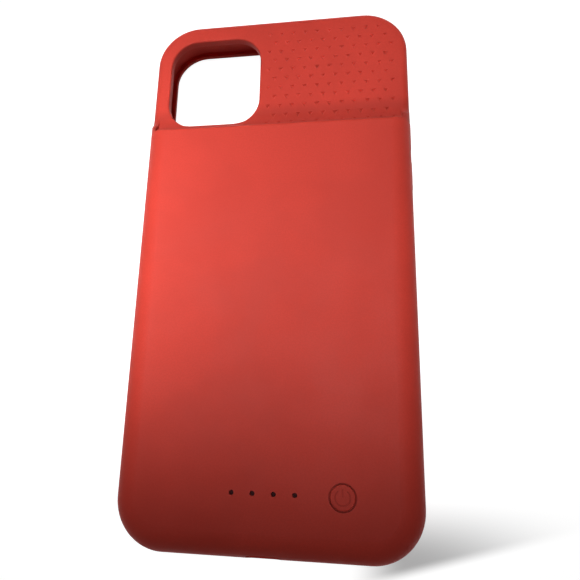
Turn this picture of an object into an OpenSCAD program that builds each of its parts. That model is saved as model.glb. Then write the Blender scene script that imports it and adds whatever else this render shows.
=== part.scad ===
// Battery charging case for a phone: a one-piece soft shell round a hard tray that carries the battery.
// The case lies on its front lip with its back up. Units are millimetres.
// X runs across the case, Y towards the camera end and Z out of the back.

/* [Phone] */
// Width of the phone that the case holds
phone_w = 75.7; // [70:0.1:80]
// Length of the phone
phone_l = 150.9; // [145:0.1:165]
// Thickness of the phone
phone_t = 8.3; // [7:0.1:10]
// Corner radius of the phone seen from the front
phone_corner_r = 11.4; // [9:0.1:13]
// Clearance round the phone
phone_gap = 0.2; // [0.1:0.05:0.4]

/* [Shell] */
// Thickness of the side walls
wall_t = 1.95; // [1.6:0.05:2.4]
// Length of the chin below the phone, outer wall included
chin_l = 6.75; // [6.2:0.05:8]
// Thickness of the front lip
lip_t = 1.2; // [0.9:0.1:1.8]
// Reach of the front lip over the phone's glass
lip_reach = 1.35; // [0.8:0.05:1.8]
// Thickness of the shell's skin over the thin camera end
skin_t = 1.2; // [1:0.1:1.6]
// Thickness of the shell's back over the battery
back_t = 1.6; // [1.3:0.1:2]
// Rounding of the back edge round the camera end
thin_edge_r = 2.2; // [1.8:0.1:3]
// Rounding of the back edge round the battery hump
hump_edge_r = 6.6; // [5:0.1:7.2]
// Rounding of the front edge
front_edge_r = 1.4; // [0.8:0.1:1.8]

/* [Step in the back] */
// Y of the crest where the hump starts to fall
crest_y = 39.2; // [36:0.1:40]
// Length of the hollow ramp from the crest to the thin end
ramp_l = 6.5; // [5.5:0.1:8]
// Rounding of the crest
crest_r = 0.9; // [0.4:0.1:1.5]
// Length over which the sides of the hump fall, past both ends of the ramp
shoulder_l = 9; // [8:0.1:10]
// Rounding of the shoulder's edge beside the ramp
shoulder_r = 0.6; // [0.4:0.1:1.4]

/* [Camera opening] */
// Width of the camera opening
camera_w = 29.3; // [24:0.1:30]
// Length of the camera opening
camera_l = 31.1; // [26:0.1:31.4]
// Corner radius of the camera opening
camera_r = 8.6; // [5:0.1:10]
// Distance of its centre from the phone's long edge
camera_from_side = 17.6; // [17:0.1:19]
// Distance of its centre from the phone's upper edge
camera_from_top = 19.6; // [19.4:0.05:20.6]
// Rounding of the opening's outer rim
camera_rim_r = 0.5; // [0.3:0.1:0.9]
// Thickness of the collar that lines the opening in the tray
collar_t = 1.1; // [0.8:0.1:1.3]

/* [Grip dimples] */
// Distance between dimples in a row
dimple_pitch_x = 3.79; // [3:0.01:5]
// Distance between rows
dimple_pitch_y = 3.25; // [2.6:0.01:4.5]
// Rows of dimples
dimple_rows = 11; // [5:1:11]
// Side of a dimple's triangle
dimple_side = 1.7; // [1:0.1:2]
// Depth of a dimple
dimple_depth = 0.45; // [0.2:0.05:0.6]
// Distance of the first row from the case's upper edge
dimple_from_top = 5.6; // [5.5:0.1:8]
// Distance that the dimples' pattern is moved to the left
dimple_shift_x = 0.84; // [0:0.01:1.9]

/* [Side keys] */
// Height that a key cover stands proud of the side
key_rise = 0.6; // [0.3:0.1:0.8]
// Width of a key cover across the thickness of the case
key_w = 3.8; // [3:0.1:4.4]
// Length of each volume key cover
volume_key_l = 10.5; // [9:0.5:12]
// Length of the power key cover
power_key_l = 17; // [14:0.5:18]
// Distances of the volume keys' centres from the phone's upper edge
volume_key_from_top = [39.5, 52.5]; // [36:0.5:56]
// Distance of the power key's centre from the phone's upper edge
power_key_from_top = 46.5; // [43:0.5:50]
// Length of the slot over the mute switch
mute_slot_l = 12.4; // [11:0.1:13]
// Width of the slot over the mute switch
mute_slot_w = 5.6; // [5:0.1:6]
// Distance of the slot's centre from the phone's upper edge
mute_slot_from_top = 25.5; // [24:0.1:27]

/* [Tray] */
// Thickness of the tray's plate
tray_t = 1; // [0.8:0.1:1.3]
// Depth of the groove in the shell that holds the tray's rim
groove_d = 0.6; // [0.4:0.05:0.8]
// Clearance of the tray in the shell
tray_gap = 0.1; // [0.05:0.05:0.2]
// Wall of the box that the tray forms in the chin
chin_box_wall = 1; // [0.8:0.1:1.1]
// Thickness of the ribs round the battery
rib_t = 0.9; // [0.7:0.1:1.2]
// Height of the ribs round the battery
rib_h = 2.4; // [1.5:0.1:2.8]

/* [Battery] */
// Width of the battery cell
cell_w = 65; // [55:0.5:66]
// Length of the battery cell without its sealed end
cell_l = 76; // [60:0.5:80]
// Thickness of the battery cell
cell_t = 4; // [3.8:0.1:6]
// Rounding of the cell's long edges
cell_edge_r = 1.2; // [0.6:0.1:1.5]
// Length of the sealed end that carries the protection board
seal_l = 4; // [4:0.1:5]
// Thickness of the adhesive pad under the cell
pad_t = 0.2; // [0.1:0.05:0.3]
// Clearance round the cell
cell_gap = 0.35; // [0.2:0.05:0.6]
// Clearance over the cell
cell_head = 0.1; // [0.1:0.05:0.4]

/* [Main board] */
// Width of the main board
board_w = 56; // [50:0.5:58]
// Length of the main board
board_l = 19.8; // [19:0.1:20.4]
// Thickness of the circuit boards
board_t = 0.8; // [0.6:0.1:1]
// Height of the bosses under the main board
boss_h = 1.6; // [1.4:0.1:1.8]
// Diameter of the bosses
boss_d = 4; // [3.4:0.1:4.4]
// Diameter of the board screws' shanks
screw_d = 1.4; // [1.2:0.1:1.6]
// Distance of the screws from the board's long sides
screw_from_side = 2.6; // [2.4:0.1:3]
// Distance of the screws from the board's ends
screw_from_end = 3; // [2.6:0.1:4]

/* [Power button and lights] */
// Distance of the button's centre to the right of the case's middle
button_x = 19.7; // [16:0.1:21]
// Distance of the button and the lights from the case's lower edge
panel_from_end = 16.1; // [15:0.1:18]
// Diameter of the button's cap
button_d = 6.2; // [5:0.1:7]
// Gap round the button's cap
button_gap = 0.35; // [0.25:0.05:0.5]
// Reach of the flange that keeps the cap in the shell
button_flange = 0.6; // [0.4:0.05:1]
// Travel of the button
button_travel = 0.3; // [0.2:0.05:0.35]
// Distance between the charge lights
light_pitch = 5.32; // [4.5:0.01:5.6]
// Distance of the row of lights' middle to the right of the case's middle
lights_x = 0.03; // [-1:0.01:1]
// Diameter of the holes for the charge lights
light_hole_d = 1.25; // [1:0.05:1.6]
// Depth of the light pins below the back
light_recess = 0.8; // [0.3:0.1:1]

/* [Connectors] */
// Width of the charging socket's metal shell
port_w = 8.94; // [8.9:0.01:9.1]
// Height of the charging socket's metal shell
port_h = 3.2; // [3.1:0.05:3.3]
// Length of the charging socket
port_l = 7.3; // [6.8:0.1:7.6]
// Wall of the charging socket's metal shell
port_wall = 0.3; // [0.25:0.05:0.4]
// Clearance between the socket and the hole in the shell
port_gap = 0.15; // [0.1:0.05:0.3]
// Width of the plug that enters the phone
plug_w = 6.7; // [6.6:0.05:6.8]
// Thickness of the plug that enters the phone
plug_t = 1.5; // [1.45:0.05:1.6]
// Length of the plug inside the phone
plug_l = 6.5; // [6:0.1:6.7]
// Number of contacts on each face of the plug
plug_contacts = 8; // [4:1:8]
// Diameter of the sound holes in the lower edge
sound_hole_d = 1.6; // [1:0.1:2]
// Number of sound holes on each side
sound_holes = 6; // [3:1:6]
// Distance between the sound holes
sound_pitch = 3; // [2.6:0.1:3.2]
// Distance of each group of sound holes from the case's middle
sound_x = 20; // [19:0.5:21]

/* [Hidden] */
$fn = 64;
// A cut runs this far past the face that it opens
past = 1;
// One charge light for each of the four nodes
light_count = 4;

// Overall sizes
case_w = phone_w + 2 * (phone_gap + wall_t);
case_l = phone_l + 2 * phone_gap + wall_t + chin_l;
corner_r = phone_corner_r + phone_gap + wall_t;
bay_w = case_w - 2 * wall_t;
bay_corner_r = corner_r - wall_t;
phone_top_y = case_l / 2 - wall_t - phone_gap;
bay_top_y = case_l / 2 - wall_t;
bay_end_y = bay_top_y - phone_l - 2 * phone_gap;
inner_end_y = -case_l / 2 + wall_t;

// Levels, counted up from the front lip
bay_z = lip_t;
tray_z = bay_z + phone_t + phone_gap;
deck_z = tray_z + tray_t;
thin_z = deck_z + skin_t;
cell_z = deck_z + pad_t;
roof_z = cell_z + cell_t + cell_head;
back_z = roof_z + back_t;
phone_mid_z = bay_z + (phone_t + phone_gap) / 2;

// Step, camera opening and button panel
ramp_foot_y = crest_y + ramp_l;
fall = back_z - thin_z;
ramp_r = (ramp_l * ramp_l + fall * fall) / (2 * fall);
shoulder_foot_y = ramp_foot_y + 0.8;
shoulder_arc_r = (shoulder_l * shoulder_l + fall * fall) / (4 * fall);
crest_wall = 1.6;
void_top_y = crest_y - crest_wall;
void_edge_r = min(hump_edge_r - back_t, roof_z - deck_z);
camera_x = -phone_w / 2 + camera_from_side;
camera_y = phone_top_y - camera_from_top;
panel_y = -case_l / 2 + panel_from_end;
// Part of a dimple's width that its floor takes, room round a dimple, and the cut's reach above the back
dimple_floor = 0.15;
dimple_spare = 0.8;
dimple_past = 0.25;

// Board levels
board_z = deck_z + boss_h;
board_top_z = board_z + board_t;
head_d = 2.6;
head_h = 0.8;
screw_gap = 0.03;
screw_short = 0.2;
boss_sink = 0.2;
screw_hole_gap = 0.15;

// Battery places
rib_clear = 0.6;
cell_top_y = void_top_y - rib_t - cell_gap - rib_clear;
cell_low_y = cell_top_y - cell_l;
seal_y = cell_low_y - seal_l;
seal_t = board_z - cell_z;
pad_inset = 3;
protection_w = 34;
protection_gap = 0.2;
tab_w = 5;
tab_t = 0.15;
tab_x = 8;
tape_t = 0.1;
tape_reach = 0.6;
tape_inset = 0.1;
lead_d = 1;
lead_x = 13.5;
lead_on_board = 1.4;
lead_on_protection = 1.6;

// Button and switch levels
button_hole_d = button_d + 2 * button_gap;
flange_t = 0.5;
flange_gap = 0.05;
flange_z = roof_z - flange_gap - flange_t;
plunger_d = 2;
plunger_gap = 0.05;
switch_w = 4.6;
switch_corner_r = 0.5;
switch_slack = 0.1;
switch_floor = 0.1;
switch_top_z = flange_z - button_travel - switch_slack;
plunger_sink = switch_top_z - board_top_z - switch_floor - plunger_gap;
symbol_r = 1.85;
symbol_line = 0.34;
symbol_depth = 0.18;
symbol_open = 35;

// Light guide levels
light_l = 1.6;
light_w = 0.8;
light_h = 0.6;
guide_lift = 0.85;
guide_z = board_top_z + guide_lift;
guide_t = 0.8;
guide_w = 2.2;
guide_pin_gap = 0.125;
guide_pin_d = light_hole_d - 2 * guide_pin_gap;
guide_leg = 1.2;
guide_end = 2.5;
guide_l = (light_count - 1) * light_pitch + 2 * guide_end;

// Chips, power choke and capacitors: places across the board and below the row of lights, and sizes
chip_h = 0.85;
charge_chip_x = -19;
charge_chip_w = 5;
boost_chip_x = -13;
boost_chip_w = 4;
boost_row = 6.5;
inductor_x = -20.4;
inductor_row = 7;
inductor_w = 6;
inductor_h = 1.5;
capacitor_x = 10;
capacitor_y = panel_y - 8.2;
capacitor_pitch = 2.4;
capacitor_w = 1.25;
capacitor_l = 2;
capacitor_h = 0.9;

// Connector places
plug_tip_y = bay_end_y + plug_l;
port_z = deck_z + port_h / 2;
port_set_back = 1.6;
port_face_y = -case_l / 2 + port_set_back;
port_back_y = port_face_y + port_l;
tongue_w = 6.7;
tongue_t = 0.7;
tongue_set_back = 0.8;
contact_t = 0.08;
window_l = 3.6;
window_from_tip = 0.9;
window_y = plug_tip_y - window_from_tip - window_l / 2;
window_w = plug_w - plug_t - 0.3;
core_sink = 0.05;
holder_w = 11;
holder_h = 4.4;
holder_corner_r = 0.6;
pocket_w = 19;
pocket_end_y = inner_end_y + tray_gap + chin_box_wall;
pocket_top_y = bay_end_y - chin_box_wall;
dock_board_w = 17;
dock_board_h = 6.2;
dock_board_gap = 0.3;
dock_board_y = pocket_end_y + dock_board_gap;
ribbon_w = 3.4;
ribbon_gap = 0.3;
ribbon_x = -port_w / 2 - port_gap - ribbon_gap - ribbon_w / 2;
ribbon_t = 0.15;
ribbon_overlap = 0.5;
ribbon_bend_r = 0.8;
ribbon_land_l = 3;
ribbon_bend_y = dock_board_y - ribbon_t + ribbon_bend_r;

// Board places: its lower edge clears the ribbon's bend
board_gap = 0.05;
board_corner_r = 1;
board_end_y = ribbon_bend_y + board_gap;
board_x = board_w / 2 - screw_from_side;
screw_low_y = board_end_y + screw_from_end;
screw_high_y = board_end_y + board_l - screw_from_end;

shell_red = [0.80, 0.27, 0.21];
tray_red = [0.62, 0.18, 0.15];

// Section from a slab's corner centre to its edge, with rounded outer corners
module slab_section(reach, z0, z1, top_r, foot_r) {
    difference() {
        translate([0, z0]) square([reach, z1 - z0]);
        if (top_r > 0) translate([reach - top_r, z1 - top_r]) difference() {
            square(top_r + past);
            circle(r = top_r);
        }
        if (foot_r > 0) translate([reach - foot_r, z0 + foot_r]) mirror([0, 1]) difference() {
            square(foot_r + past);
            circle(r = foot_r);
        }
    }
}

// Slab with round plan corners: its section runs along the sides and turns round each corner
module slab(w, y0, y1, corner, z0, z1, top_r = 0, foot_r = 0) {
    side_x = w / 2 - corner;
    low_y = y0 + corner;
    high_y = y1 - corner;
    for (c = [[side_x, high_y, 0], [-side_x, high_y, 90], [-side_x, low_y, 180], [side_x, low_y, 270]])
        translate([c[0], c[1], 0]) rotate(c[2]) rotate_extrude(angle = 90)
            slab_section(corner, z0, z1, top_r, foot_r);
    for (side = [0, 1]) {
        mirror([side, 0, 0]) translate([side_x, high_y, 0]) rotate([90, 0, 0])
            linear_extrude(high_y - low_y) slab_section(corner, z0, z1, top_r, foot_r);
        translate([-side_x, side == 0 ? high_y : low_y, 0]) mirror([0, side, 0]) rotate([90, 0, 90])
            linear_extrude(2 * side_x) slab_section(corner, z0, z1, top_r, foot_r);
    }
    translate([-side_x, low_y, z0]) cube([2 * side_x, high_y - low_y, z1 - z0]);
}

// Rounded rectangle centred on the origin
module round_rect(w, l, r) {
    square([w - 2 * r, l], center = true);
    square([w, l - 2 * r], center = true);
    for (sx = [-1, 1], sy = [-1, 1]) translate([sx * (w / 2 - r), sy * (l / 2 - r)]) circle(r = r);
}

// Flat bar with round ends, its length along X
module stadium(l, w) {
    square([l - w, w], center = true);
    for (s = [-1, 1]) translate([s * (l - w) / 2, 0]) circle(d = w);
}

// Outline of the hump seen from the side: flat back, rounded crest, hollow ramp down to the thin end
module hump_side() {
    ramp_z = thin_z + ramp_r;
    round_z = back_z - crest_r;
    round_y = ramp_foot_y - sqrt(pow(ramp_r + crest_r, 2) - pow(ramp_z - round_z, 2));
    difference() {
        translate([-case_l / 2, 0]) square([case_l / 2 + ramp_foot_y, back_z]);
        translate([ramp_foot_y, ramp_z]) circle(r = ramp_r, $fn = 96);
        difference() {
            polygon([[round_y, round_z], [round_y, back_z + past],
                [ramp_foot_y, back_z + past], [ramp_foot_y, ramp_z]]);
            translate([round_y, round_z]) circle(r = crest_r);
            translate([ramp_foot_y, ramp_z]) circle(r = ramp_r, $fn = 96);
        }
    }
}

// Stretches a side outline, drawn in Y and Z, across the case
module across(w) {
    translate([-w / 2, 0, 0]) rotate([90, 0, 90]) linear_extrude(w) children();
}

// Opening of the camera cut-out, grown all round
module camera_outline(grow) {
    translate([camera_x, camera_y]) round_rect(camera_w + 2 * grow, camera_l + 2 * grow, camera_r + grow);
}

// Camera cut-out with a rounded rim: the tool for the shell
module camera_cut() {
    translate([0, 0, tray_z - past]) linear_extrude(back_z - tray_z + 2 * past) camera_outline(0);
    translate([0, 0, thin_z]) linear_extrude(fall + past) camera_outline(camera_rim_r);
    // The rim's rounding is the room that a ring of a round section leaves free
    difference() {
        translate([0, 0, thin_z - camera_rim_r]) linear_extrude(camera_rim_r) camera_outline(camera_rim_r);
        translate([camera_x, camera_y, thin_z - camera_rim_r]) rim_ring();
    }
}

// Ring of round section that follows the outer edge of the rim
module rim_ring() {
    turn_r = camera_r + camera_rim_r;
    flat_x = camera_w / 2 - camera_r;
    flat_y = camera_l / 2 - camera_r;
    for (c = [[flat_x, flat_y, 0], [-flat_x, flat_y, 90], [-flat_x, -flat_y, 180], [flat_x, -flat_y, 270]])
        translate([c[0], c[1], 0]) rotate(c[2]) rotate_extrude(angle = 90)
            translate([turn_r, 0]) circle(r = camera_rim_r);
    for (s = [-1, 1]) {
        translate([s * (flat_x + turn_r), -flat_y, 0]) rotate([-90, 0, 0])
            cylinder(r = camera_rim_r, h = 2 * flat_y);
        translate([-flat_x, s * (flat_y + turn_r), 0]) rotate([0, 90, 0])
            cylinder(r = camera_rim_r, h = 2 * flat_x);
    }
}

// A dimple is a dent with three sloping sides, a small flat floor and a corner to the lower edge
module dimple(z) {
    mouth_r = dimple_side / sqrt(3);
    floor_r = mouth_r * dimple_floor;
    widening = (mouth_r - floor_r) / dimple_depth;
    reach = dimple_depth + dimple_past;
    translate([0, 0, z - dimple_depth]) rotate(-90)
        cylinder(r1 = floor_r, r2 = floor_r + widening * reach, h = reach, $fn = 3);
}

// Height of the back above the lip at a given Y
function back_at(y) = y >= ramp_foot_y ? thin_z
    : thin_z + ramp_r - sqrt(ramp_r * ramp_r - pow(ramp_foot_y - y, 2));

// Room round the camera opening and inside the rounded edges that keeps a dimple whole
function dimple_fits(x, y) =
    let (edge_x = abs(x) - (case_w / 2 - corner_r), edge_y = y - (case_l / 2 - corner_r),
        edge = edge_x > 0 && edge_y > 0 ? norm([edge_x, edge_y]) : max(edge_x, edge_y),
        hole_x = abs(x - camera_x) - camera_w / 2, hole_y = abs(y - camera_y) - camera_l / 2,
        margin = dimple_side)
    x > camera_x && edge < corner_r - thin_edge_r - margin / 2
        && max(hole_x, hole_y) > camera_rim_r + margin * dimple_spare && y > crest_y + dimple_side;

module dimples() {
    columns = ceil(case_w / dimple_pitch_x);
    for (row = [0 : dimple_rows - 1], column = [-columns : columns]) {
        x = (column + (row % 2 == 0 ? 0.5 : 0)) * dimple_pitch_x - dimple_shift_x;
        y = case_l / 2 - dimple_from_top - row * dimple_pitch_y;
        if (dimple_fits(x, y)) translate([x, y, 0]) dimple(back_at(y));
    }
}

// Key cover that stands proud of a side wall, with rounded edges; its length runs along Y
module key_cover(l) {
    root = wall_t / 2;
    edge = key_rise * 0.8;
    module section() slab_section(key_w / 2, -root, key_rise, edge, 0);
    rotate([0, 90, 0]) {
        for (s = [0, 1]) mirror([0, s, 0]) translate([0, (l - key_w) / 2, 0])
            rotate_extrude(angle = 180) section();
        for (s = [0, 1]) mirror([s, 0, 0]) translate([0, (l - key_w) / 2, 0]) rotate([90, 0, 0])
            linear_extrude(l - key_w) section();
    }
}

// Pocket in the wall's inner face that frees the phone's own key
module key_pocket(l) {
    depth = wall_t * 0.35;
    inset = 0.3;
    translate([-past, 0, 0]) rotate([0, 90, 0]) linear_extrude(depth + past)
        rotate(90) stadium(l, key_w - 2 * inset);
}

// Slot through the side over the mute switch, wider on the outside for a fingertip
module mute_slot() {
    bevel = 0.6;
    rotate([0, 90, 0]) {
        translate([0, 0, -past]) linear_extrude(wall_t + 2 * past)
            rotate(90) stadium(mute_slot_l, mute_slot_w);
        translate([0, 0, wall_t - bevel]) linear_extrude(bevel + past)
            rotate(90) stadium(mute_slot_l + 2 * bevel, mute_slot_w + 2 * bevel);
    }
}

module sound_hole_row(l) {
    for (side = [-1, 1], i = [0 : sound_holes - 1])
        translate([side * sound_x + (i - (sound_holes - 1) / 2) * sound_pitch, 0, phone_mid_z])
            rotate([-90, 0, 0]) cylinder(d = sound_hole_d, h = l, $fn = 24);
}

// Room inside the hump, with the hump's own corners and cut straight behind the crest
module battery_room() {
    intersection() {
        slab(bay_w, inner_end_y, case_l / 2, bay_corner_r, deck_z, roof_z, void_edge_r);
        translate([-case_w / 2, -case_l / 2, deck_z])
            cube([case_w, case_l / 2 + void_top_y, roof_z - deck_z]);
    }
}

// The hump: a rounded slab cut by the step, with a shoulder past each end of the ramp
module hump() {
    intersection() {
        slab(case_w, -case_l / 2, case_l / 2, corner_r, 0, back_z, hump_edge_r, front_edge_r);
        union() {
            difference() {
                across(case_w + 2 * past) hump_side();
                for (side = [0, 1]) mirror([side, 0, 0]) ramp_edge_cut();
            }
            for (side = [0, 1]) mirror([side, 0, 0]) shoulder();
        }
    }
}

// Takes the corner off the ramp's end, turning round the ramp's own axis
module ramp_edge_cut() {
    flat_x = case_w / 2 - thin_edge_r;
    quarter = 90;
    translate([0, ramp_foot_y, thin_z + ramp_r]) mirror([0, 1, 0]) rotate([0, 90, 0])
        rotate_extrude(angle = quarter) difference() {
            translate([ramp_r - past, flat_x]) square([thin_edge_r + past, thin_edge_r + past]);
            translate([ramp_r + thin_edge_r, flat_x]) circle(r = thin_edge_r);
        }
}

// Section of a shoulder below its top: the outer edge has the thin end's rounding, the inner edge its own
module shoulder_section(depth) {
    outer_x = case_w / 2;
    inner_x = outer_x - thin_edge_r - shoulder_r;
    difference() {
        translate([-depth, inner_x]) square([depth, outer_x - inner_x]);
        difference() {
            translate([-thin_edge_r, outer_x - thin_edge_r]) square(thin_edge_r + past);
            translate([-thin_edge_r, outer_x - thin_edge_r]) circle(r = thin_edge_r);
        }
        difference() {
            translate([-shoulder_r, inner_x - past]) square(shoulder_r + past);
            translate([-shoulder_r, inner_x + shoulder_r]) circle(r = shoulder_r);
        }
    }
}

// A shoulder falls in two equal arcs: a round one from the top and a hollow one to the thin end
module shoulder() {
    sweep = asin(shoulder_l / 2 / shoulder_arc_r);
    translate([0, shoulder_foot_y - shoulder_l, back_z - shoulder_arc_r]) rotate([0, 90, 0])
        rotate(180 - sweep) rotate_extrude(angle = sweep)
            translate([shoulder_arc_r, 0]) shoulder_section(shoulder_arc_r);
    translate([0, shoulder_foot_y, thin_z + shoulder_arc_r]) rotate([0, 90, 0]) rotate(-sweep)
        rotate_extrude(angle = sweep)
            translate([shoulder_arc_r, 0]) mirror([1, 0]) shoulder_section(2 * fall);
}

// The one-piece soft shell: body, hump, lip, key covers and all its openings
module soft_shell() {
    color(shell_red) difference() {
        union() {
            difference() {
                union() {
                    slab(case_w, -case_l / 2, case_l / 2, corner_r, 0, thin_z, thin_edge_r, front_edge_r);
                    hump();
                    for (from_top = volume_key_from_top)
                        translate([case_w / 2, phone_top_y - from_top, phone_mid_z])
                            key_cover(volume_key_l);
                    mirror([1, 0, 0])
                        translate([case_w / 2, phone_top_y - power_key_from_top, phone_mid_z])
                            key_cover(power_key_l);
                }
                // Bay for the phone and the tray's chin box
                slab(bay_w, inner_end_y, bay_top_y, bay_corner_r, bay_z, deck_z);
                // Front window inside the lip
                slab(bay_w - 2 * lip_reach, bay_end_y + lip_reach, bay_top_y - lip_reach,
                    bay_corner_r - lip_reach, -past, bay_z);
                // Groove that holds the tray's rim
                slab(bay_w + 2 * groove_d, inner_end_y - groove_d, bay_top_y + groove_d,
                    bay_corner_r + groove_d, tray_z, deck_z);
                // Room for the battery and the board
                battery_room();
                for (from_top = volume_key_from_top)
                    translate([bay_w / 2, phone_top_y - from_top, phone_mid_z]) key_pocket(volume_key_l);
                mirror([1, 0, 0]) translate([bay_w / 2, phone_top_y - power_key_from_top, phone_mid_z])
                    key_pocket(power_key_l);
                translate([bay_w / 2, phone_top_y - mute_slot_from_top, phone_mid_z]) mute_slot();
            }
            // Collar that lines the camera opening in the tray
            translate([0, 0, tray_z]) linear_extrude(tray_t) camera_outline(collar_t);
        }
        camera_cut();
        dimples();
        translate([button_x, panel_y, roof_z - past]) cylinder(d = button_hole_d, h = back_t + 2 * past);
        for (i = [0 : light_count - 1]) translate([light_at(i), panel_y, roof_z - past])
            cylinder(d = light_hole_d, h = back_t + 2 * past, $fn = 32);
        // Hole for the charging socket
        translate([0, -case_l / 2 - past, port_z]) rotate([-90, 0, 0]) linear_extrude(wall_t + past + 2)
            stadium(port_w + 2 * port_gap, port_h + 2 * port_gap);
        translate([0, -case_l / 2 - past, 0]) sound_hole_row(wall_t + 2 * past);
    }
}

// X of a charge light
function light_at(i) = lights_x + (i - (light_count - 1) / 2) * light_pitch;

// Places of the four board screws
function screw_at(i) = [(i % 2 == 0 ? -1 : 1) * board_x, i < 2 ? screw_low_y : screw_high_y];

// Hard tray: plate behind the phone, chin box, ribs round the battery and bosses for the board
module phone_tray() {
    grip = groove_d - tray_gap;
    box_w = bay_w - 2 * tray_gap;
    color(tray_red) difference() {
        union() {
            slab(bay_w + 2 * grip, inner_end_y - grip, bay_top_y + grip, bay_corner_r + grip,
                tray_z, deck_z);
            intersection() {
                slab(box_w, inner_end_y + tray_gap, bay_top_y, bay_corner_r - tray_gap, bay_z, deck_z);
                translate([-case_w / 2, -case_l / 2, bay_z])
                    cube([case_w, case_l / 2 + bay_end_y, deck_z - bay_z]);
            }
            battery_ribs();
            for (i = [0 : 3])
                translate([screw_at(i)[0], screw_at(i)[1], deck_z]) cylinder(d = boss_d, h = boss_h);
        }
        translate([0, 0, tray_z - past]) linear_extrude(tray_t + 2 * past)
            camera_outline(collar_t + tray_gap);
        for (i = [0 : 3]) translate([screw_at(i)[0], screw_at(i)[1], deck_z - boss_sink])
            cylinder(d = screw_d + 2 * screw_gap, h = boss_h + past);
        // Pocket for the dock board and its ribbon
        translate([-pocket_w / 2, pocket_end_y, bay_z + chin_box_wall])
            cube([pocket_w, pocket_top_y - pocket_end_y, deck_z]);
        // Mouth for the plug's holder
        translate([0, pocket_top_y - past, phone_mid_z]) rotate([-90, 0, 0])
            linear_extrude(chin_box_wall + 2 * past)
                square([holder_w + 2 * tray_gap, holder_h + 2 * tray_gap], center = true);
        translate([0, inner_end_y, 0]) sound_hole_row(chin_l);
    }
}

// Frame that keeps the battery in place, open at its sealed end for the leads
module battery_ribs() {
    inner_w = cell_w + 2 * cell_gap;
    top_y = cell_top_y + cell_gap;
    translate([-inner_w / 2 - rib_t, cell_low_y, deck_z]) {
        for (side_x = [0, inner_w + rib_t]) translate([side_x, 0, 0])
            cube([rib_t, top_y - cell_low_y, rib_h]);
        translate([0, top_y - cell_low_y, 0]) cube([inner_w + 2 * rib_t, rib_t, rib_h]);
    }
}

// Pouch cell with rounded long edges and a thinner sealed end
module battery_cell() {
    color([0.72, 0.73, 0.75]) {
        translate([0, cell_top_y, cell_z + cell_t / 2]) rotate([90, 0, 0]) linear_extrude(cell_l)
            round_rect(cell_w, cell_t, cell_edge_r);
        translate([-cell_w / 2 + cell_edge_r, seal_y, cell_z])
            cube([cell_w - 2 * cell_edge_r, seal_l + past, seal_t]);
    }
}

// Adhesive pad between the cell and the tray
module cell_pad() {
    color([0.92, 0.92, 0.90]) translate([-cell_w / 2 + pad_inset, cell_low_y + pad_inset, deck_z])
        cube([cell_w - 2 * pad_inset, cell_l - 2 * pad_inset, pad_t]);
}

// Nickel strip from the sealed end up and over the protection board
module cell_tab(x) {
    foot_z = cell_z + seal_t / 3;
    color([0.76, 0.75, 0.70]) translate([x - tab_w / 2, seal_y - tab_t, foot_z]) {
        cube([tab_w, tab_t, board_top_z + tab_t - foot_z]);
        translate([0, 0, board_top_z - foot_z]) cube([tab_w, seal_l / 2, tab_t]);
    }
}

module cell_tab_positive() cell_tab(tab_x);

module cell_tab_negative() cell_tab(-tab_x);

// Small board on the cell's sealed end
module protection_board() {
    color([0.10, 0.35, 0.22]) translate([-protection_w / 2, seal_y, board_z])
        cube([protection_w, seal_l - protection_gap, board_t]);
}

// Amber tape over the protection board and the tabs
module insulating_tape() {
    tape_w = 2 * tab_x + tab_w + 2 * tape_reach;
    color([0.80, 0.52, 0.12]) translate([-tape_w / 2, seal_y + tape_inset, board_top_z + tab_t])
        cube([tape_w, seal_l - protection_gap - 2 * tape_inset, tape_t]);
}

// Insulated lead from the protection board to the main board
module lead(x, tint) {
    low_y = board_end_y + board_l - lead_on_board;
    color(tint) translate([x, low_y, board_top_z + lead_d / 2]) rotate([-90, 0, 0])
        cylinder(d = lead_d, h = seal_y + lead_on_protection - low_y, $fn = 24);
}

module lead_positive() lead(lead_x, [0.75, 0.10, 0.08]);

module lead_negative() lead(-lead_x, [0.06, 0.06, 0.07]);

// Main board with a notch for the socket and four screw holes
module main_board() {
    color([0.08, 0.30, 0.18]) difference() {
        translate([0, board_end_y + board_l / 2, board_z]) linear_extrude(board_t)
            round_rect(board_w, board_l, board_corner_r);
        for (i = [0 : 3]) translate([screw_at(i)[0], screw_at(i)[1], board_z - past])
            cylinder(d = screw_d + 2 * screw_hole_gap, h = board_t + 2 * past);
        translate([-port_w / 2 - port_gap, board_end_y - past, board_z - past])
            cube([port_w + 2 * port_gap, port_back_y + port_gap - board_end_y + past, board_t + 2 * past]);
    }
}

// Pan-head screw with a cross recess
module board_screw(i) {
    shank = board_t + boss_h - screw_short;
    recess = 0.35;
    slot_w = 0.4;
    slot_reach = 0.6;
    color([0.72, 0.72, 0.74]) translate([screw_at(i)[0], screw_at(i)[1], board_top_z]) difference() {
        union() {
            cylinder(d = head_d, h = head_h, $fn = 32);
            translate([0, 0, -shank]) cylinder(d = screw_d, h = shank, $fn = 32);
        }
        for (turn = [0, 90]) rotate(turn) translate([0, 0, head_h])
            cube([head_d * slot_reach, slot_w, 2 * recess], center = true);
    }
}

module charge_light(i) {
    color([0.85, 0.92, 1]) translate([light_at(i) - light_l / 2, panel_y - light_w / 2, board_top_z])
        cube([light_l, light_w, light_h]);
}

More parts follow.
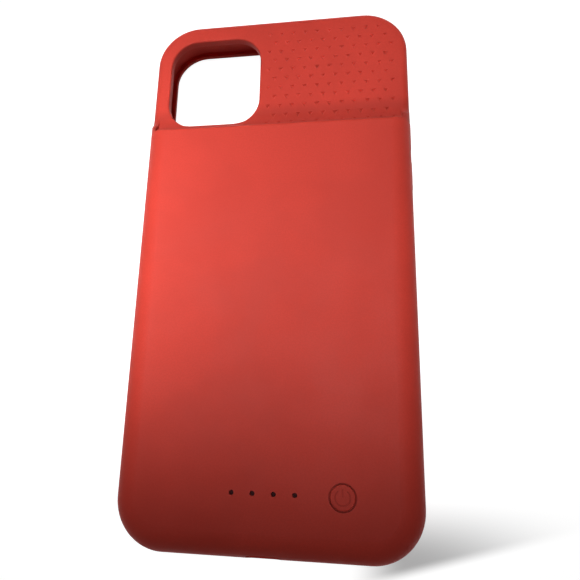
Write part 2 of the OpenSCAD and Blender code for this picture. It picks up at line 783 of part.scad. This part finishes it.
// Clear bar on two legs with a pin under each light hole
module light_guide() {
    color([0.85, 0.87, 0.90]) translate([lights_x, panel_y, 0]) {
        translate([-guide_l / 2, -guide_w / 2, guide_z]) cube([guide_l, guide_w, guide_t]);
        for (leg_x = [-guide_l / 2, guide_l / 2 - guide_leg]) translate([leg_x, -guide_w / 2, board_top_z])
            cube([guide_leg, guide_w, guide_z - board_top_z]);
        for (i = [0 : light_count - 1]) translate([light_at(i) - lights_x, 0, guide_z])
            cylinder(d = guide_pin_d, h = back_z - light_recess - guide_z, $fn = 32);
    }
}

// Power sign: an open ring and a bar, sunk in the cap
module power_sign() {
    bar_foot = symbol_r * 0.1;
    difference() {
        circle(r = symbol_r + symbol_line / 2);
        circle(r = symbol_r - symbol_line / 2);
        reach = symbol_r * 2;
        polygon([[0, 0], [-reach * tan(symbol_open), reach], [reach * tan(symbol_open), reach]]);
    }
    translate([-symbol_line / 2, bar_foot]) square([symbol_line, symbol_r]);
}

// Button cap with a flange that keeps it under the shell's back
module button_cap() {
    rim = 0.3;
    color(shell_red) translate([button_x, panel_y, 0]) difference() {
        union() {
            rotate_extrude() slab_section(button_d / 2, flange_z, back_z, rim, 0);
            translate([0, 0, flange_z]) cylinder(d = button_hole_d + 2 * button_flange, h = flange_t);
        }
        translate([0, 0, back_z - symbol_depth]) linear_extrude(symbol_depth + past) power_sign();
    }
}

module switch_plunger() {
    color([0.15, 0.15, 0.16]) translate([button_x, panel_y, switch_top_z - plunger_sink + button_travel])
        cylinder(d = plunger_d, h = flange_z - switch_top_z + plunger_sink - button_travel);
}

// Low switch with a bore for its plunger
module switch_body() {
    color([0.62, 0.63, 0.65]) translate([button_x, panel_y, board_top_z]) difference() {
        linear_extrude(switch_top_z - board_top_z) round_rect(switch_w, switch_w, switch_corner_r);
        translate([0, 0, switch_floor])
            cylinder(d = plunger_d + 2 * plunger_gap, h = switch_top_z - board_top_z);
    }
}

// Flat chip on the main board
module chip(x, y, w, l, h) {
    color([0.09, 0.09, 0.10]) translate([x - w / 2, y - l / 2, board_top_z]) cube([w, l, h]);
}

module charge_chip() chip(charge_chip_x, panel_y, charge_chip_w, charge_chip_w, chip_h);

module boost_chip() chip(boost_chip_x, panel_y - boost_row, boost_chip_w, boost_chip_w, chip_h);

// Wound power choke in its moulded block
module power_inductor() {
    corner = 0.9;
    color([0.22, 0.22, 0.23]) translate([inductor_x, panel_y - inductor_row, board_top_z])
        linear_extrude(inductor_h) round_rect(inductor_w, inductor_w, corner);
}

module capacitor(i) {
    x = capacitor_x + i * capacitor_pitch;
    color([0.60, 0.45, 0.30]) translate([x - capacitor_w / 2, capacitor_y - capacitor_l / 2, board_top_z])
        cube([capacitor_w, capacitor_l, capacitor_h]);
}

// Metal shell of the charging socket, open to the lower edge
module charge_port_shell() {
    color([0.70, 0.71, 0.73]) translate([0, port_face_y, port_z]) rotate([-90, 0, 0]) difference() {
        linear_extrude(port_l) stadium(port_w, port_h);
        translate([0, 0, -past]) linear_extrude(port_l + past - port_wall)
            stadium(port_w - 2 * port_wall, port_h - 2 * port_wall);
    }
}

// Tongue in the middle of the socket
module charge_port_tongue() {
    base_l = 1.6;
    base_gap = 0.2;
    color([0.07, 0.07, 0.08]) translate([0, port_back_y - port_wall, port_z]) rotate([90, 0, 0]) {
        linear_extrude(base_l) stadium(port_w - 2 * port_wall - base_gap, port_h - 2 * port_wall - base_gap);
        linear_extrude(port_l - port_wall - tongue_set_back) square([tongue_w, tongue_t], center = true);
    }
}

// Row of contacts on each face of the tongue
module charge_port_contacts() {
    count = 12;
    pitch = 0.5;
    contact_w = 0.26;
    contact_l = 3.4;
    from_face = 1.4;
    color([0.85, 0.68, 0.30]) for (side = [0, 1], i = [0 : count - 1])
        translate([(i - (count - 1) / 2) * pitch, port_face_y + from_face, port_z]) mirror([0, 0, side])
            translate([-contact_w / 2, 0, tongue_t / 2]) cube([contact_w, contact_l, contact_t]);
}

// Metal frame of the plug, with a window in each face
module dock_plug_shell() {
    color([0.75, 0.76, 0.78]) difference() {
        translate([0, bay_end_y - chin_box_wall, phone_mid_z]) rotate([-90, 0, 0])
            linear_extrude(plug_l + chin_box_wall) stadium(plug_w, plug_t);
        translate([0, window_y, phone_mid_z]) cube([window_w, window_l, plug_t + 2 * past], center = true);
    }
}

// Black core that fills the plug's windows
module dock_plug_core() {
    color([0.06, 0.06, 0.07]) translate([0, window_y, phone_mid_z])
        cube([window_w, window_l, plug_t - 2 * core_sink], center = true);
}

// Contacts on both faces of the core
module dock_plug_contacts() {
    pitch = 0.6;
    contact_w = 0.36;
    contact_l = 2.8;
    color([0.88, 0.72, 0.35]) for (side = [0, 1], i = [0 : plug_contacts - 1])
        translate([(i - (plug_contacts - 1) / 2) * pitch, window_y, phone_mid_z]) mirror([0, 0, side])
            translate([-contact_w / 2, -contact_l / 2, plug_t / 2 - core_sink])
                cube([contact_w, contact_l, core_sink]);
}

// Block that carries the plug in the chin box
module dock_plug_holder() {
    color([0.10, 0.10, 0.11]) difference() {
        translate([0, dock_board_y + board_t, phone_mid_z]) rotate([-90, 0, 0])
            linear_extrude(bay_end_y - dock_board_y - board_t)
                round_rect(holder_w, holder_h, holder_corner_r);
        translate([0, bay_end_y - chin_box_wall, phone_mid_z]) rotate([-90, 0, 0])
            linear_extrude(chin_box_wall + past) stadium(plug_w, plug_t);
    }
}

// Upright board behind the plug
module dock_board() {
    color([0.08, 0.30, 0.18]) translate([-dock_board_w / 2, dock_board_y, phone_mid_z - dock_board_h / 2])
        cube([dock_board_w, board_t, dock_board_h]);
}

// Ribbon from the dock board up and over onto the main board's top face
module flex_ribbon() {
    foot_z = phone_mid_z - ribbon_overlap;
    bend_z = board_top_z + ribbon_t - ribbon_bend_r;
    color([0.78, 0.45, 0.12]) translate([ribbon_x - ribbon_w / 2, 0, 0]) {
        translate([0, dock_board_y - ribbon_t, foot_z]) cube([ribbon_w, ribbon_t, bend_z - foot_z]);
        translate([0, ribbon_bend_y, bend_z]) rotate([90, 0, 90]) linear_extrude(ribbon_w) intersection() {
            difference() {
                circle(r = ribbon_bend_r);
                circle(r = ribbon_bend_r - ribbon_t);
            }
            translate([-ribbon_bend_r, 0]) square(ribbon_bend_r);
        }
        translate([0, ribbon_bend_y, board_top_z]) cube([ribbon_w, ribbon_land_l, ribbon_t]);
    }
}

// Low connector that takes the ribbon's end
module flex_connector() {
    side = 0.3;
    length = 2.2;
    height = 0.9;
    color([0.90, 0.88, 0.82])
        translate([ribbon_x - ribbon_w / 2 - side, ribbon_bend_y + ribbon_land_l, board_top_z])
            cube([ribbon_w + 2 * side, length, height]);
}

soft_shell();
phone_tray();
battery_cell();
cell_pad();
cell_tab_positive();
cell_tab_negative();
protection_board();
insulating_tape();
lead_positive();
lead_negative();
main_board();
for (i = [0 : 3]) board_screw(i);
for (i = [0 : 3]) charge_light(i);
light_guide();
button_cap();
switch_plunger();
switch_body();
charge_chip();
boost_chip();
power_inductor();
for (i = [0 : 3]) capacitor(i);
charge_port_shell();
charge_port_tongue();
charge_port_contacts();
dock_plug_shell();
dock_plug_core();
dock_plug_contacts();
dock_plug_holder();
dock_board();
flex_ribbon();
flex_connector();
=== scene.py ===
"""Looks for the battery charging case: finishes for every solid, the floor, soft lamps and the camera."""

import math

import bpy
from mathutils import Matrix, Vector


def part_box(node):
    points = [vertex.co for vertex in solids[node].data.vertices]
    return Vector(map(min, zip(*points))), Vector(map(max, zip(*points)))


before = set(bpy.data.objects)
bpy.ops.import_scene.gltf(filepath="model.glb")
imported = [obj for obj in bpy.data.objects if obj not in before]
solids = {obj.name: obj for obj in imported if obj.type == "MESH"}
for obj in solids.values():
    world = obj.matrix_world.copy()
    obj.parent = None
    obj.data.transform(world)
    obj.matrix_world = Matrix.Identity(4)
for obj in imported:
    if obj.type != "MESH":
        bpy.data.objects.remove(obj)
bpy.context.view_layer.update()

# Colours
RED = (0.640, 0.052, 0.034)
SHELL_WORN = (0.74, 0.115, 0.085)
CAP_WORN = (0.72, 0.11, 0.08)
SHEEN_TINT = (1.0, 0.62, 0.55, 1.0)
TRAY_RED = (0.46, 0.048, 0.052)
MASK_GREEN = (0.010, 0.085, 0.036)
COPPER = (0.62, 0.48, 0.26)
STEEL = (0.60, 0.60, 0.62)
TIN = (0.66, 0.66, 0.67)
EPOXY_DARK = (0.020, 0.020, 0.022)
EPOXY_PALE = (0.034, 0.034, 0.037)
EPOXY_MARK = (0.16, 0.16, 0.165)

# Painted shade in the crease at the foot of the step: where it begins, is full, begins to end and ends, in
# metres
CREASE_ALONG = (0.0385, 0.0405, 0.0458, 0.0500)
CREASE_UP = (0.0095, 0.0112, 0.0159, 0.0165)
CREASE_SHADE_SHARE = 0.42

# The floor and its glow
FLOOR_WIDTH = 6.0
FLOOR_DROP = 0.00005
FLOOR_GREY = (0.40, 0.40, 0.40, 1)
FLOOR_GLOW = 0.97

# The wedge of painted shadow on the floor: where each side begins and ends, in metres, and how its lower
# side rises
WEDGE_LEFT = (0.020, 0.036)
WEDGE_RIGHT = (0.036, 0.090)
WEDGE_UPPER = (-0.081, -0.0625)
WEDGE_LOWER = (-0.0960, -0.0925)
WEDGE_SLANT = 0.29
WEDGE_SHADOW_SHARE = 0.62


class Tree:
    """The node tree of a material or a world, with short ways to add nodes and join them."""

    def __init__(self, owner):
        owner.use_nodes = True
        self.nodes = owner.node_tree.nodes
        self.links = owner.node_tree.links

    def node(self, kind, **settings):
        made = self.nodes.new(kind)
        for key, value in settings.items():
            setattr(made, key, value)
        return made

    def link(self, source, target):
        self.links.new(source, target)

    def object_place(self):
        """The surface's place in the object, in metres."""
        return self.node("ShaderNodeTexCoord").outputs["Object"]

    def axes(self, place):
        """The X, Y and Z of a place."""
        parts = self.node("ShaderNodeSeparateXYZ")
        self.link(place, parts.inputs[0])
        return parts.outputs

    def calc(self, operation, *values):
        """The result of an operation on numbers or sockets."""
        made = self.node("ShaderNodeMath", operation=operation)
        for socket, value in zip(made.inputs, values):
            if isinstance(value, (int, float)):
                socket.default_value = value
            else:
                self.link(value, socket)
        return made.outputs["Value"]

    def spread(self, value, low, high, start=0.35, end=0.65):
        """Takes a value from start..end to low..high, easing in and out."""
        made = self.node("ShaderNodeMapRange", interpolation_type="SMOOTHSTEP")
        made.inputs["From Min"].default_value = start
        made.inputs["From Max"].default_value = end
        made.inputs["To Min"].default_value = low
        made.inputs["To Max"].default_value = high
        self.link(value, made.inputs["Value"])
        return made.outputs["Result"]


class Finish(Tree):
    """One material, built as a node tree round its principled shader."""

    def __init__(self, name, roughness, metallic=0.0, **constants):
        self.material = bpy.data.materials.new(name)
        super().__init__(self.material)
        self.shader = self.nodes["Principled BSDF"]
        self.place = self.object_place()
        self.shader.inputs["Roughness"].default_value = roughness
        self.shader.inputs["Metallic"].default_value = metallic
        for socket, value in constants.items():
            self.shader.inputs[socket.replace("_", " ")].default_value = value

    def stretched(self, stretch):
        """The surface's place, scaled more along some axes so that a pattern runs along the others."""
        scaled = self.node("ShaderNodeVectorMath", operation="MULTIPLY")
        self.link(self.place, scaled.inputs[0])
        scaled.inputs[1].default_value = stretch
        return scaled.outputs["Vector"]

    def noise(self, size, detail=2, stretch=None, roughness=0.5):
        """Noise whose blotches are about this many metres wide."""
        made = self.node("ShaderNodeTexNoise")
        made.inputs["Scale"].default_value = 1 / size
        made.inputs["Detail"].default_value = detail
        made.inputs["Roughness"].default_value = roughness
        self.link(self.stretched(stretch) if stretch else self.place, made.inputs["Vector"])
        return made.outputs["Fac"]

    def cells(self, size, metric="EUCLIDEAN", scatter=1.0):
        """Distance to the nearest of many points that lie about this many metres apart."""
        made = self.node("ShaderNodeTexVoronoi", distance=metric)
        made.inputs["Scale"].default_value = 1 / size
        made.inputs["Randomness"].default_value = scatter
        self.link(self.place, made.inputs["Vector"])
        return made.outputs["Distance"]

    def mix(self, factor, first, second):
        """Mixes two colours, each a colour or a socket."""
        made = self.node("ShaderNodeMix", data_type="RGBA")
        self.link(factor, made.inputs["Factor"])
        for side, colour in (("A", first), ("B", second)):
            socket = [s for s in made.inputs if s.name == side and s.type == "RGBA"][0]
            if isinstance(colour, tuple):
                socket.default_value = (*colour, 1.0)
            else:
                self.link(colour, socket)
        return [s for s in made.outputs if s.type == "RGBA"][0]

    def clouded(self, size, dark, pale, detail=3):
        """A colour that drifts between two tones, in blotches about this many metres wide."""
        return self.mix(self.spread(self.noise(size, detail), 0.0, 1.0), dark, pale)

    def laid_over(self, base, colour, mask, share):
        """The base with a colour over it where the mask is high, at most by this share."""
        return self.mix(self.calc("MULTIPLY", mask, share), base, colour)

    def bump(self, height, depth, strength, under=None):
        """A direction tilted by a height whose full range is this many metres deep."""
        made = self.node("ShaderNodeBump")
        made.inputs["Distance"].default_value = depth
        made.inputs["Strength"].default_value = strength
        self.link(height, made.inputs["Height"])
        if under is not None:
            self.link(under, made.inputs["Normal"])
        return made.outputs["Normal"]

    def soft_normal(self, radius):
        """The surface's direction with its crisp edges eased over this radius."""
        made = self.node("ShaderNodeBevel", samples=10)
        made.inputs["Radius"].default_value = radius
        return made.outputs["Normal"]

    def edges(self, radius):
        """High close to an edge, from how far the eased direction leans from the true one."""
        lean = self.node("ShaderNodeVectorMath", operation="DOT_PRODUCT")
        self.link(self.soft_normal(radius), lean.inputs[0])
        self.link(self.node("ShaderNodeNewGeometry").outputs["Normal"], lean.inputs[1])
        return self.spread(lean.outputs["Value"], 1.0, 0.0, start=0.86, end=0.995)

    def cavity(self, reach):
        """High in grooves, pits and inner corners, where little of the sky within this reach is seen."""
        made = self.node("ShaderNodeAmbientOcclusion", samples=8)
        made.inputs["Distance"].default_value = reach
        return self.spread(made.outputs["AO"], 1.0, 0.0, start=0.70, end=0.97)

    def band(self, axis, rise_from, rise_to, fall_from, fall_to):
        """High between two places along one axis of the object, with soft ends."""
        along = self.axes(self.place)[axis]
        rise = self.spread(along, 0.0, 1.0, rise_from, rise_to)
        fall = self.spread(along, 1.0, 0.0, fall_from, fall_to)
        return self.calc("MULTIPLY", rise, fall)

    def colour(self, socket):
        self.link(socket, self.shader.inputs["Base Color"])

    def rough(self, socket):
        self.link(socket, self.shader.inputs["Roughness"])

    def normal(self, socket):
        self.link(socket, self.shader.inputs["Normal"])


def shade(colour, factor):
    return tuple(min(1.0, c * factor) for c in colour)


def soft_touch(name, colour, worn, hollow_shade_share):
    """Matt rubbery coating: fine grain, faint handling marks, edges rubbed lighter, and painted shade in
    hollows and in the crease at the foot of the step.
    """
    f = Finish(name, 0.55, Specular_IOR_Level=0.15, Sheen_Weight=0.05, Sheen_Roughness=0.45,
               Sheen_Tint=SHEEN_TINT)
    dark = shade(colour, 0.45)
    clouded = f.clouded(0.022, shade(colour, 0.955), shade(colour, 1.045))
    specked = f.mix(f.spread(f.noise(0.00045), 0.0, 0.30), clouded, shade(colour, 0.86))
    rubbed = f.laid_over(specked, worn, f.edges(0.0007), share=0.15)
    # Painted shade: the colour is darkened where the hollows mask is high, by the share given for each
    # coating
    shaded_hollows = f.laid_over(rubbed, dark, f.cavity(0.005), hollow_shade_share)
    # Painted shade: the crease at the foot of the step is darkened in the colour
    crease_shade = f.calc("MULTIPLY", f.band("Y", *CREASE_ALONG), f.band("Z", *CREASE_UP))
    f.colour(f.laid_over(shaded_hollows, dark, crease_shade, CREASE_SHADE_SHARE))
    smudges = f.spread(f.noise(0.014, detail=4, roughness=0.6), 0.53, 0.59)
    f.rough(f.calc("ADD", smudges, f.spread(f.noise(0.0012), -0.02, 0.03)))
    grain = f.bump(f.noise(0.00028, detail=3), depth=0.00002, strength=0.55, under=f.soft_normal(0.00015))
    f.normal(f.bump(f.noise(0.006), depth=0.00006, strength=0.30, under=grain))
    return f.material


def moulded(name, colour, grain=0.0003, depth=0.00003, roughness=0.42):
    """Injection-moulded plastic with a spark-eroded texture and slight flow shading."""
    f = Finish(name, roughness, Specular_IOR_Level=0.45)
    flow = f.clouded(0.012, shade(colour, 0.90), shade(colour, 1.10))
    f.colour(f.laid_over(flow, shade(colour, 1.5), f.edges(0.0004), share=0.35))
    f.rough(f.spread(f.noise(0.004, detail=3), roughness - 0.06, roughness + 0.10))
    f.normal(f.bump(f.cells(grain), depth, strength=0.5, under=f.soft_normal(0.0002)))
    return f.material


def brushed(name, colour, along, roughness=0.28, line=0.00012):
    """Metal drawn or brushed along one axis, with dull patches."""
    f = Finish(name, roughness, metallic=1.0)
    stretch = [0.04 if axis == along else 1.0 for axis in "XYZ"]
    lines = f.noise(line, detail=3, stretch=stretch)
    f.colour(f.mix(f.spread(lines, 0.0, 1.0), shade(colour, 0.86), shade(colour, 1.04)))
    patches = f.spread(f.noise(0.002, detail=3), roughness - 0.05, roughness + 0.14)
    f.rough(f.calc("ADD", patches, f.spread(lines, -0.03, 0.04)))
    f.normal(f.bump(lines, depth=0.000006, strength=0.5, under=f.soft_normal(0.00008)))
    return f.material


def circuit_board(name, mask, copper):
    """Solder mask over copper tracks, with plated through-holes between them."""
    f = Finish(name, 0.32, Specular_IOR_Level=0.5)
    wide = f.spread(f.cells(0.0021, metric="CHEBYCHEV", scatter=0.7), 1.0, 0.0, start=0.40, end=0.44)
    fine = f.spread(f.cells(0.0008, metric="MANHATTAN", scatter=0.3), 1.0, 0.0, start=0.52, end=0.56)
    tracks = f.calc("MAXIMUM", f.calc("MULTIPLY", wide, 0.8), f.calc("MULTIPLY", fine, 0.4))
    masked = f.mix(tracks, mask, shade(mask, 1.9))
    holes = f.spread(f.cells(0.0034), 1.0, 0.0, start=0.075, end=0.095)
    f.colour(f.mix(holes, masked, copper))
    f.rough(f.spread(f.noise(0.0015, detail=3), 0.26, 0.38))
    f.normal(f.bump(tracks, depth=0.00003, strength=0.6, under=f.soft_normal(0.0001)))
    return f.material


def film(name, colour, roughness=0.22, wrinkle=0.004):
    """Thin tape or ribbon, a little wavy where it is stuck down."""
    f = Finish(name, roughness, Specular_IOR_Level=0.5, Coat_Weight=0.3, Coat_Roughness=0.12)
    f.colour(f.clouded(0.0025, shade(colour, 0.85), shade(colour, 1.12)))
    f.rough(f.spread(f.noise(0.0018), roughness - 0.05, roughness + 0.10))
    grain = f.bump(f.noise(0.0003), depth=0.000008, strength=0.4)
    f.normal(f.bump(f.noise(wrinkle), depth=0.00008, strength=0.5, under=grain))
    return f.material


def foil(name, colour):
    """Embossed laminate of a pouch cell, with shallow dents."""
    f = Finish(name, 0.34, metallic=0.85)
    f.colour(f.clouded(0.010, shade(colour, 0.88), shade(colour, 1.05), detail=4))
    f.rough(f.spread(f.noise(0.006, detail=4), 0.28, 0.45))
    pattern = f.cells(0.0009, metric="MANHATTAN", scatter=0.0)
    embossed = f.bump(pattern, depth=0.00003, strength=0.5, under=f.soft_normal(0.0003))
    f.normal(f.bump(f.noise(0.012, detail=3), depth=0.0004, strength=0.35, under=embossed))
    return f.material


def insulation(name, colour):
    """Lead's silicone jacket: smooth, with dust and faint rings from the extruder."""
    f = Finish(name, 0.42, Specular_IOR_Level=0.45)
    dust = f.spread(f.noise(0.0012, detail=4, roughness=0.65), 0.0, 0.35, start=0.5, end=0.75)
    dusty = shade([c + 0.08 for c in colour], 1.2)
    f.colour(f.mix(dust, colour, dusty))
    f.rough(f.spread(f.noise(0.0016), 0.36, 0.50))
    rings = f.noise(0.0003, stretch=(0.3, 3.0, 0.3))
    f.normal(f.bump(rings, depth=0.00002, strength=0.5))
    return f.material


def clear_plastic(name, colour, shine=0.5, clear=0.55):
    """Clear or smoked moulding with slight haze and flow lines."""
    f = Finish(name, 0.16, Transmission_Weight=clear, IOR=1.5, Specular_IOR_Level=shine)
    f.colour(f.clouded(0.003, shade(colour, 0.92), colour))
    f.rough(f.spread(f.noise(0.002, detail=3), 0.12, 0.26))
    f.normal(f.bump(f.noise(0.0012), depth=0.00002, strength=0.4, under=f.soft_normal(0.0001)))
    return f.material


def ceramic(name, colour, node):
    """Chip capacitor: satin ceramic body between two tinned ends."""
    f = Finish(name, 0.36, Specular_IOR_Level=0.5)
    body = f.clouded(0.0005, shade(colour, 0.9), shade(colour, 1.1))
    low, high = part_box(node)
    middle = (low[1] + high[1]) / 2
    away = f.calc("ABSOLUTE", f.calc("SUBTRACT", f.axes(f.place)["Y"], middle))
    ends = f.spread(away, 0.0, 1.0, start=0.00062, end=0.00066)
    f.colour(f.mix(ends, body, TIN))
    f.link(ends, f.shader.inputs["Metallic"])
    f.rough(f.spread(f.noise(0.0004), 0.30, 0.45))
    f.normal(f.bump(f.noise(0.00015), depth=0.00001, strength=0.5, under=f.soft_normal(0.0001)))
    return f.material


def chip_body(name, node):
    """Moulded epoxy with the small round mark of its first leg."""
    f = Finish(name, 0.48, Specular_IOR_Level=0.4)
    low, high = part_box(node)
    inset = 0.0007
    away = f.node("ShaderNodeVectorMath", operation="DISTANCE")
    f.link(f.place, away.inputs[0])
    away.inputs[1].default_value = (low[0] + inset, high[1] - inset, high[2])
    mark = f.spread(away.outputs["Value"], 1.0, 0.0, start=0.00025, end=0.0003)
    f.colour(f.mix(mark, f.clouded(0.0006, EPOXY_DARK, EPOXY_PALE), EPOXY_MARK))
    f.rough(f.spread(f.noise(0.0005), 0.42, 0.56))
    f.normal(f.bump(f.noise(0.0001), depth=0.00001, strength=0.6, under=f.soft_normal(0.00008)))
    return f.material


def numbered(stem):
    """The names of solids that repeat, such as board_screw_1 to board_screw_4."""
    return sorted(name for name in solids if name.startswith(f"{stem}_"))


def dress(material, *names):
    for name in names:
        for slot in solids[name].material_slots:
            slot.material = material


# Both coatings get painted shade in their hollows; the button's ring and symbol get much more than the
# shell
dress(soft_touch("soft_touch_red", RED, SHELL_WORN, hollow_shade_share=0.04), "soft_shell")
dress(soft_touch("soft_touch_button", shade(RED, 0.97), CAP_WORN, hollow_shade_share=0.35), "button_cap")
dress(moulded("tray_plastic", TRAY_RED), "phone_tray")
dress(foil("pouch_foil", (0.60, 0.61, 0.63)), "battery_cell")
dress(moulded("adhesive_pad", (0.78, 0.78, 0.75), 0.0005, 0.00004, 0.7), "cell_pad")
dress(brushed("nickel_strip", (0.62, 0.60, 0.54), "Z"), "cell_tab_positive", "cell_tab_negative")
green = circuit_board("solder_mask_green", MASK_GREEN, COPPER)
dress(green, "main_board", "protection_board", "dock_board")
dress(film("amber_tape", (0.60, 0.28, 0.03)), "insulating_tape")
dress(film("amber_ribbon", (0.42, 0.15, 0.02), 0.30, wrinkle=0.006), "flex_ribbon")
dress(insulation("red_lead", (0.42, 0.012, 0.010)), "lead_positive")
dress(insulation("black_lead", (0.012, 0.012, 0.013)), "lead_negative")
dress(brushed("screw_steel", STEEL, "X", 0.30, line=0.00008), *numbered("board_screw"))
dress(clear_plastic("light_lens", (0.86, 0.84, 0.66)), *numbered("charge_light"))
dress(clear_plastic("light_guide", (0.045, 0.004, 0.004), shine=0.05, clear=0.05), "light_guide")
dress(brushed("switch_cover", (0.52, 0.53, 0.55), "X", 0.30), "switch_body")
black = moulded("black_nylon", (0.018, 0.018, 0.020), 0.0002, 0.00002, 0.45)
dress(black, "switch_plunger", "charge_port_tongue", "dock_plug_core", "dock_plug_holder")
for chip in ("charge_chip", "boost_chip"):
    dress(chip_body(f"{chip}_epoxy", chip), chip)
dress(moulded("choke_ferrite", (0.075, 0.075, 0.082), 0.0002, 0.00004, 0.6), "power_inductor")
for capacitor in numbered("capacitor"):
    dress(ceramic(f"{capacitor}_ceramic", (0.32, 0.20, 0.10), capacitor), capacitor)
dress(brushed("port_steel", STEEL, "Y", 0.26), "charge_port_shell")
dress(brushed("plug_steel", (0.66, 0.67, 0.69), "Y", 0.24), "dock_plug_shell")
gold = brushed("contact_gold", (0.83, 0.60, 0.24), "Y", 0.24, line=0.00006)
dress(gold, "charge_port_contacts", "dock_plug_contacts")
dress(moulded("ivory_nylon", (0.74, 0.69, 0.58), 0.0002, 0.00002, 0.5), "flex_connector")


def sees_background(tree):
    """1 for rays that show the background: straight from the camera, or by way of metal or glass."""
    path = tree.node("ShaderNodeLightPath")
    total = path.outputs["Is Camera Ray"]
    for name in ("Is Glossy Ray", "Is Transmission Ray"):
        total = tree.calc("MAXIMUM", total, path.outputs[name])
    return total


def painted_shadow_wedge(tree):
    """High in a wedge beside the lower right corner, where the photograph shows shadow."""
    axes = tree.axes(tree.object_place())
    slanted = tree.calc("SUBTRACT", axes["Y"], tree.calc("MULTIPLY", axes["X"], WEDGE_SLANT))
    lower = tree.spread(slanted, 0.0, 1.0, *WEDGE_LOWER)
    upper = tree.spread(axes["Y"], 1.0, 0.0, *WEDGE_UPPER)
    right = tree.spread(axes["X"], WEDGE_SHADOW_SHARE, 0.0, *WEDGE_RIGHT)
    left = tree.spread(axes["X"], 0.0, 1.0, *WEDGE_LEFT)
    across = tree.calc("MULTIPLY", left, right)
    return tree.calc("MULTIPLY", tree.calc("MULTIPLY", lower, upper), across)


def make_floor():
    """Wide floor that takes light and shadow, and glows white for rays that show the background, less in a
    wedge of painted shadow.
    """
    bpy.ops.mesh.primitive_plane_add(size=FLOOR_WIDTH, location=(0, 0, -FLOOR_DROP))
    floor = bpy.context.object
    floor.name = "floor"
    material = bpy.data.materials.new("white_floor")
    tree = Tree(material)
    tree.nodes.clear()
    out = tree.node("ShaderNodeOutputMaterial")
    paper = tree.node("ShaderNodeBsdfDiffuse")
    paper.inputs["Color"].default_value = FLOOR_GREY
    # Painted shadow: the glow is lowered in the wedge beside the lower right corner
    level = tree.calc("SUBTRACT", FLOOR_GLOW, painted_shadow_wedge(tree))
    glow = tree.node("ShaderNodeEmission")
    tree.link(tree.calc("MULTIPLY", sees_background(tree), level), glow.inputs["Strength"])
    both = tree.node("ShaderNodeAddShader")
    tree.link(paper.outputs[0], both.inputs[0])
    tree.link(glow.outputs[0], both.inputs[1])
    tree.link(both.outputs[0], out.inputs["Surface"])
    floor.data.materials.append(material)


def make_world(level):
    """White behind everything, and an even low light on the object."""
    world = bpy.data.worlds.new("studio")
    bpy.context.scene.world = world
    tree = Tree(world)
    back = tree.nodes["Background"]
    back.inputs["Color"].default_value = (1, 1, 1, 1)
    strength = tree.node("ShaderNodeMapRange")
    strength.inputs["To Min"].default_value = level
    strength.inputs["To Max"].default_value = 1.0
    tree.link(sees_background(tree), strength.inputs["Value"])
    tree.link(strength.outputs["Result"], back.inputs["Strength"])


def make_lamp(name, place, target, size, power, spread=180):
    """Square lamp that faces its target, with its size in metres and its beam's spread in degrees."""
    data = bpy.data.lights.new(name, "AREA")
    data.size = size
    data.energy = power
    data.spread = math.radians(spread)
    lamp = bpy.data.objects.new(name, data)
    bpy.context.scene.collection.objects.link(lamp)
    lamp.location = place
    toward = Vector(target) - Vector(place)
    lamp.rotation_euler = toward.to_track_quat("-Z", "Y").to_euler()


def make_camera():
    """The photograph's viewpoint: close over the case's lower right part, looking down along it."""
    data = bpy.data.cameras.new("photo_camera")
    data.sensor_width = 36
    data.lens = 31.429
    data.shift_x = 0.0302
    data.shift_y = 0.0077
    data.clip_start = 0.005
    data.clip_end = 20
    camera = bpy.data.objects.new("photo_camera", data)
    bpy.context.scene.collection.objects.link(camera)
    camera.location = (0.0208157, -0.0456804, 0.1485424)
    camera.rotation_euler = [math.radians(degrees) for degrees in (13.98534, 8.11118, 1.58377)]
    bpy.context.scene.camera = camera


make_floor()
make_world(level=0.02)
make_lamp("key", (-0.012, 0.03, 0.22), (-0.012, 0.03, 0.0), size=0.162, power=0.070, spread=34.9)
make_lamp("side", (-0.087, 0.03, 0.265), (-0.08, 0.013, 0.0), size=0.05, power=0.029, spread=38.2)
make_lamp("fill", (-0.02, 0.02, 0.70), (0.0, 0.0, 0.0), size=0.4, power=0.06)
make_camera()

scene = bpy.context.scene
scene.view_settings.view_transform = "Standard"
